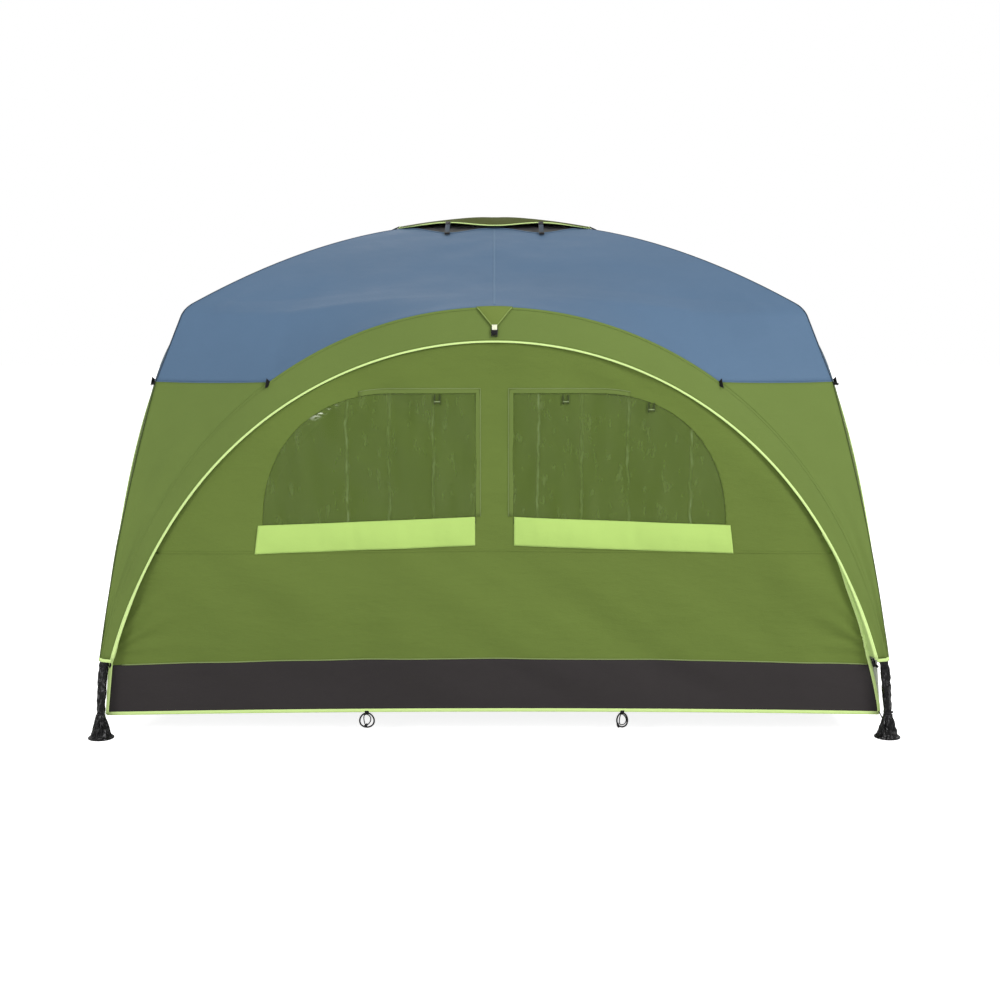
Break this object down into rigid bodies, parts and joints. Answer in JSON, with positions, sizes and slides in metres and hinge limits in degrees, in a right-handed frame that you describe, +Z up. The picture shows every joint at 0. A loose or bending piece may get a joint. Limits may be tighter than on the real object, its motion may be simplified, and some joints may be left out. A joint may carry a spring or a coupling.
{
  "type": "screen house",
  "caption": "Square dome screen house: bowed pole frame, canopy with arched sides, windowed sun wall, screen walls with doors, propped roof vent and cone feet.",
  "frame": {"origin": "on the ground at the middle of the four feet", "axes": "+Z up; the wall with two clear windows faces -Y; the walls with mesh doors face +X and -X"},
  "size_m": [3.092, 3.092, 2.1],
  "materials": {
    "blue_fabric": "slate blue coated polyester, fine weave, slight sheen",
    "green_fabric": "olive green coated polyester with lime binding and a charcoal mud skirt",
    "pale_mesh": "pale grey insect mesh in a green fabric border",
    "dark_mesh": "black insect mesh",
    "clear_film": "clear flexible vinyl with creases",
    "webbing": "stiffened grey webbing with black ends",
    "pole": "black glass fibre rod",
    "elbow_steel": "dark grey powder coat",
    "leg_paint": "gloss black powder coat",
    "foot_rubber": "black moulded plastic",
    "black_plastic": "black moulded acetal"
  },
  "bodies": {
    "shelter": {"hub": "black_plastic", "roof_pole_front_right": "pole", "elbow_front_right": "elbow_steel", "leg_front_right": "leg_paint", "corner_panel_front_right": "green_fabric", "roof_pole_rear_right": "pole", "elbow_rear_right": "elbow_steel", "leg_rear_right": "leg_paint", "corner_panel_rear_right": "green_fabric", "roof_pole_rear_left": "pole", "elbow_rear_left": "elbow_steel", "leg_rear_left": "leg_paint", "corner_panel_rear_left": "green_fabric", "roof_pole_front_left": "pole", "elbow_front_left": "elbow_steel", "leg_front_left": "leg_paint", "corner_panel_front_left": "green_fabric", "roof_panel_front": "blue_fabric", "arch_band_front": "green_fabric", "buckle_socket_front": "black_plastic", "roof_panel_right": "blue_fabric", "arch_band_right": "green_fabric", "buckle_socket_right": "black_plastic", "roof_panel_rear": "blue_fabric", "arch_band_rear": "green_fabric", "buckle_socket_rear": "black_plastic", "roof_panel_left": "blue_fabric", "arch_band_left": "green_fabric", "buckle_socket_left": "black_plastic", "vent_hood": "green_fabric", "front_wall": "green_fabric", "rear_wall": "green_fabric", "vent_mesh": "dark_mesh", "window_pane_left": "clear_film", "window_pane_right": "clear_film", "screen_wall_right": "pale_mesh", "screen_wall_left": "pale_mesh"},
    "foot_front_right": {"foot_front_right": "foot_rubber"},
    "foot_rear_right": {"foot_rear_right": "foot_rubber"},
    "foot_rear_left": {"foot_rear_left": "foot_rubber"},
    "foot_front_left": {"foot_front_left": "foot_rubber"},
    "buckle_front": {"buckle_plug_front": "black_plastic"},
    "vent_prop_front_left": {"vent_prop_front_left": "webbing"},
    "vent_prop_front_right": {"vent_prop_front_right": "webbing"},
    "buckle_right": {"buckle_plug_right": "black_plastic"},
    "vent_prop_right_left": {"vent_prop_right_left": "webbing"},
    "vent_prop_right_right": {"vent_prop_right_right": "webbing"},
    "buckle_rear": {"buckle_plug_rear": "black_plastic"},
    "vent_prop_rear_left": {"vent_prop_rear_left": "webbing"},
    "vent_prop_rear_right": {"vent_prop_rear_right": "webbing"},
    "buckle_left": {"buckle_plug_left": "black_plastic"},
    "vent_prop_left_left": {"vent_prop_left_left": "webbing"},
    "vent_prop_left_right": {"vent_prop_left_right": "webbing"},
    "door_right": {"screen_door_right": "pale_mesh"},
    "slider_right": {"zip_slider_right": "black_plastic"},
    "ring_right": {"peg_ring_right": "black_plastic"},
    "door_left": {"screen_door_left": "pale_mesh"},
    "slider_left": {"zip_slider_left": "black_plastic"},
    "ring_left": {"peg_ring_left": "black_plastic"}
  },
  "joints": [
    {"name": "foot_swivel_front_right", "type": "hinge", "parent": "shelter", "child": "foot_front_right", "pos_m": [1.497, -1.497, 0.02], "axis": [0, 0, 1], "continuous": true},
    {"name": "foot_swivel_rear_right", "type": "hinge", "parent": "shelter", "child": "foot_rear_right", "pos_m": [1.497, 1.497, 0.02], "axis": [0, 0, 1], "continuous": true},
    {"name": "foot_swivel_rear_left", "type": "hinge", "parent": "shelter", "child": "foot_rear_left", "pos_m": [-1.497, 1.497, 0.02], "axis": [0, 0, 1], "continuous": true},
    {"name": "foot_swivel_front_left", "type": "hinge", "parent": "shelter", "child": "foot_front_left", "pos_m": [-1.497, -1.497, 0.02], "axis": [0, 0, 1], "continuous": true},
    {"name": "buckle_release_front", "type": "slide", "parent": "shelter", "child": "buckle_front", "axis": [0, -0.3652, -0.9309], "range_m": [0, 0.03]},
    {"name": "prop_fold_front_left", "type": "hinge", "parent": "shelter", "child": "vent_prop_front_left", "pos_m": [-0.205, -0.565, 1.974], "axis": [1, 0, 0], "range_deg": [-6, 140]},
    {"name": "prop_fold_front_right", "type": "hinge", "parent": "shelter", "child": "vent_prop_front_right", "pos_m": [0.205, -0.565, 1.974], "axis": [1, 0, 0], "range_deg": [-6, 140]},
    {"name": "buckle_release_right", "type": "slide", "parent": "shelter", "child": "buckle_right", "axis": [0.3652, 0, -0.9309], "range_m": [0, 0.03]},
    {"name": "prop_fold_right_left", "type": "hinge", "parent": "shelter", "child": "vent_prop_right_left", "pos_m": [0.565, -0.205, 1.974], "axis": [0, 1, 0], "range_deg": [-6, 140]},
    {"name": "prop_fold_right_right", "type": "hinge", "parent": "shelter", "child": "vent_prop_right_right", "pos_m": [0.565, 0.205, 1.974], "axis": [0, 1, 0], "range_deg": [-6, 140]},
    {"name": "buckle_release_rear", "type": "slide", "parent": "shelter", "child": "buckle_rear", "axis": [0, 0.3652, -0.9309], "range_m": [0, 0.03]},
    {"name": "prop_fold_rear_left", "type": "hinge", "parent": "shelter", "child": "vent_prop_rear_left", "pos_m": [0.205, 0.565, 1.974], "axis": [-1, 0, 0], "range_deg": [-6, 140]},
    {"name": "prop_fold_rear_right", "type": "hinge", "parent": "shelter", "child": "vent_prop_rear_right", "pos_m": [-0.205, 0.565, 1.974], "axis": [-1, 0, 0], "range_deg": [-6, 140]},
    {"name": "buckle_release_left", "type": "slide", "parent": "shelter", "child": "buckle_left", "axis": [-0.3652, 0, -0.9309], "range_m": [0, 0.03]},
    {"name": "prop_fold_left_left", "type": "hinge", "parent": "shelter", "child": "vent_prop_left_left", "pos_m": [-0.565, 0.205, 1.974], "axis": [0, -1, 0], "range_deg": [-6, 140]},
    {"name": "prop_fold_left_right", "type": "hinge", "parent": "shelter", "child": "vent_prop_left_right", "pos_m": [-0.565, -0.205, 1.974], "axis": [0, -1, 0], "range_deg": [-6, 140]},
    {"name": "door_swing_right", "type": "hinge", "parent": "shelter", "child": "door_right", "pos_m": [1.4495, 0.427, 0.8], "axis": [0, 0, 1], "range_deg": [0, 110]},
    {"name": "zip_run_right", "type": "slide", "parent": "shelter", "child": "slider_right", "axis": [0, 0, 1], "range_m": [0, 0.62]},
    {"name": "ring_swing_right", "type": "hinge", "parent": "shelter", "child": "ring_right", "pos_m": [0.49, -1.448, 0.088], "axis": [1, 0, 0], "range_deg": [-80, 80]},
    {"name": "door_swing_left", "type": "hinge", "parent": "shelter", "child": "door_left", "pos_m": [-1.4495, 0.427, 0.8], "axis": [0, 0, -1], "range_deg": [0, 110]},
    {"name": "zip_run_left", "type": "slide", "parent": "shelter", "child": "slider_left", "axis": [0, 0, 1], "range_m": [0, 0.62]},
    {"name": "ring_swing_left", "type": "hinge", "parent": "shelter", "child": "ring_left", "pos_m": [-0.49, -1.448, 0.088], "axis": [1, 0, 0], "range_deg": [-80, 80]}
  ]
}
